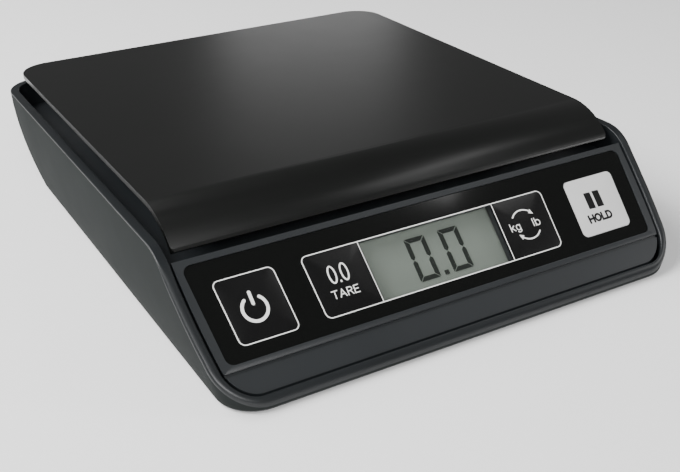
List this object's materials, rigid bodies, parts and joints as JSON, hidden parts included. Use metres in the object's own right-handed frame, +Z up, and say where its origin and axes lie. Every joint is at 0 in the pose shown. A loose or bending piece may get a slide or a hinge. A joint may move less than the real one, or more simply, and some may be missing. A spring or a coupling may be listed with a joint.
{
  "type": "platform shipping scale",
  "caption": "Low bench scale for parcels: shallow tray housing, sloped console with keys and a digital display, floating square weighing platform bent down at the front.",
  "frame": {"origin": "on the supporting surface, under the middle of the plan", "axes": "+X to the user's right, +Y to the back, +Z up; the console faces -Y"},
  "size_m": [0.2032, 0.2376, 0.0516],
  "materials": {
    "housing_plastic": "fine satin texture",
    "platform_plastic": "satin black",
    "overlay_gloss": "smooth gloss black",
    "key_black": "satin black with light print",
    "key_grey": "satin light grey with dark print",
    "clear_window": "clear polycarbonate",
    "foam": "closed-cell foam",
    "lcd_glass": "clear polished glass",
    "lcd_dark": "energised liquid crystal",
    "lcd_green_grey": "transflective film",
    "white_plastic": "moulded nylon",
    "inner_plastic": "plain moulded",
    "zebra_rubber": "layered conductive silicone",
    "board_green": "solder mask",
    "chip_black": "epoxy",
    "can_metal": "brushed",
    "lead_jacket": "flexible vinyl",
    "lead_red": "flexible vinyl",
    "cell_alloy": "milled",
    "gauge_silicone": "white silicone",
    "zinc_steel": "zinc plated",
    "nickel": "nickel plated",
    "battery_wrap": "printed foil sleeve",
    "door_plastic": "fine satin texture",
    "rubber_black": "plain rubber"
  },
  "bodies": {
    "housing": {"battery_leads": "lead_red", "battery_left": "battery_wrap", "battery_middle": "battery_wrap", "battery_plug": "white_plastic", "battery_right": "battery_wrap", "battery_socket": "white_plastic", "bay_contacts": "nickel", "bay_springs": "nickel", "board_screws": "zinc_steel", "capacitors": "can_metal", "cell_base_screws": "zinc_steel", "cell_base_spacer": "zinc_steel", "console_cover": "housing_plastic", "controller_chip": "chip_black", "converter_chip": "chip_black", "display_gasket": "foam", "display_window": "clear_window", "door_pin": "zinc_steel", "gauge_covers": "gauge_silicone", "hold_key_dome": "nickel", "housing_screws": "zinc_steel", "housing_tray": "housing_plastic", "lcd_digits": "lcd_dark", "lcd_front_glass": "lcd_glass", "lcd_holder": "inner_plastic", "lcd_rear_glass": "lcd_glass", "lcd_reflector": "lcd_green_grey", "load_cell": "cell_alloy", "load_cell_lead": "lead_jacket", "load_cell_plug": "white_plastic", "load_cell_socket": "white_plastic", "main_board": "board_green", "overlay_panel": "overlay_gloss", "overload_stops": "zinc_steel", "power_key_dome": "nickel", "rubber_feet": "rubber_black", "tare_key_dome": "nickel", "timing_crystal": "can_metal", "unit_key_dome": "nickel", "zebra_strips": "zebra_rubber"},
    "weighing_platform": {"platform": "platform_plastic", "platform_cushions": "rubber_black", "platform_carrier": "inner_plastic", "cell_top_spacer": "zinc_steel", "cell_top_screws": "zinc_steel"},
    "power_key_pad": {"power_key": "key_black"},
    "tare_key_pad": {"tare_key": "key_black"},
    "unit_key_pad": {"unit_key": "key_black"},
    "hold_key_pad": {"hold_key": "key_grey"},
    "door": {"battery_door": "door_plastic"}
  },
  "joints": [
    {"name": "platform_press", "type": "slide", "parent": "housing", "child": "weighing_platform", "axis": [0, 0, 1], "range_m": [-0.0006, 0], "stiffness_N_per_m": 40000, "deforming": ["load_cell"]},
    {"name": "power_key_press", "type": "slide", "parent": "housing", "child": "power_key_pad", "axis": [0, -0.6833, 0.7302], "range_m": [-0.0004, 0], "stiffness_N_per_m": 4000, "deforming": ["power_key_dome"]},
    {"name": "tare_key_press", "type": "slide", "parent": "housing", "child": "tare_key_pad", "axis": [0, -0.6833, 0.7302], "range_m": [-0.0004, 0], "stiffness_N_per_m": 4000, "deforming": ["tare_key_dome"]},
    {"name": "unit_key_press", "type": "slide", "parent": "housing", "child": "unit_key_pad", "axis": [0, -0.6833, 0.7302], "range_m": [-0.0004, 0], "stiffness_N_per_m": 4000, "deforming": ["unit_key_dome"]},
    {"name": "hold_key_press", "type": "slide", "parent": "housing", "child": "hold_key_pad", "axis": [0, -0.6833, 0.7302], "range_m": [-0.0004, 0], "stiffness_N_per_m": 4000, "deforming": ["hold_key_dome"]},
    {"name": "battery_door_hinge", "type": "hinge", "parent": "housing", "child": "door", "pos_m": [0.048, -0.0014, 0.0046], "axis": [-1, 0, 0], "range_deg": [0, 100]}
  ]
}
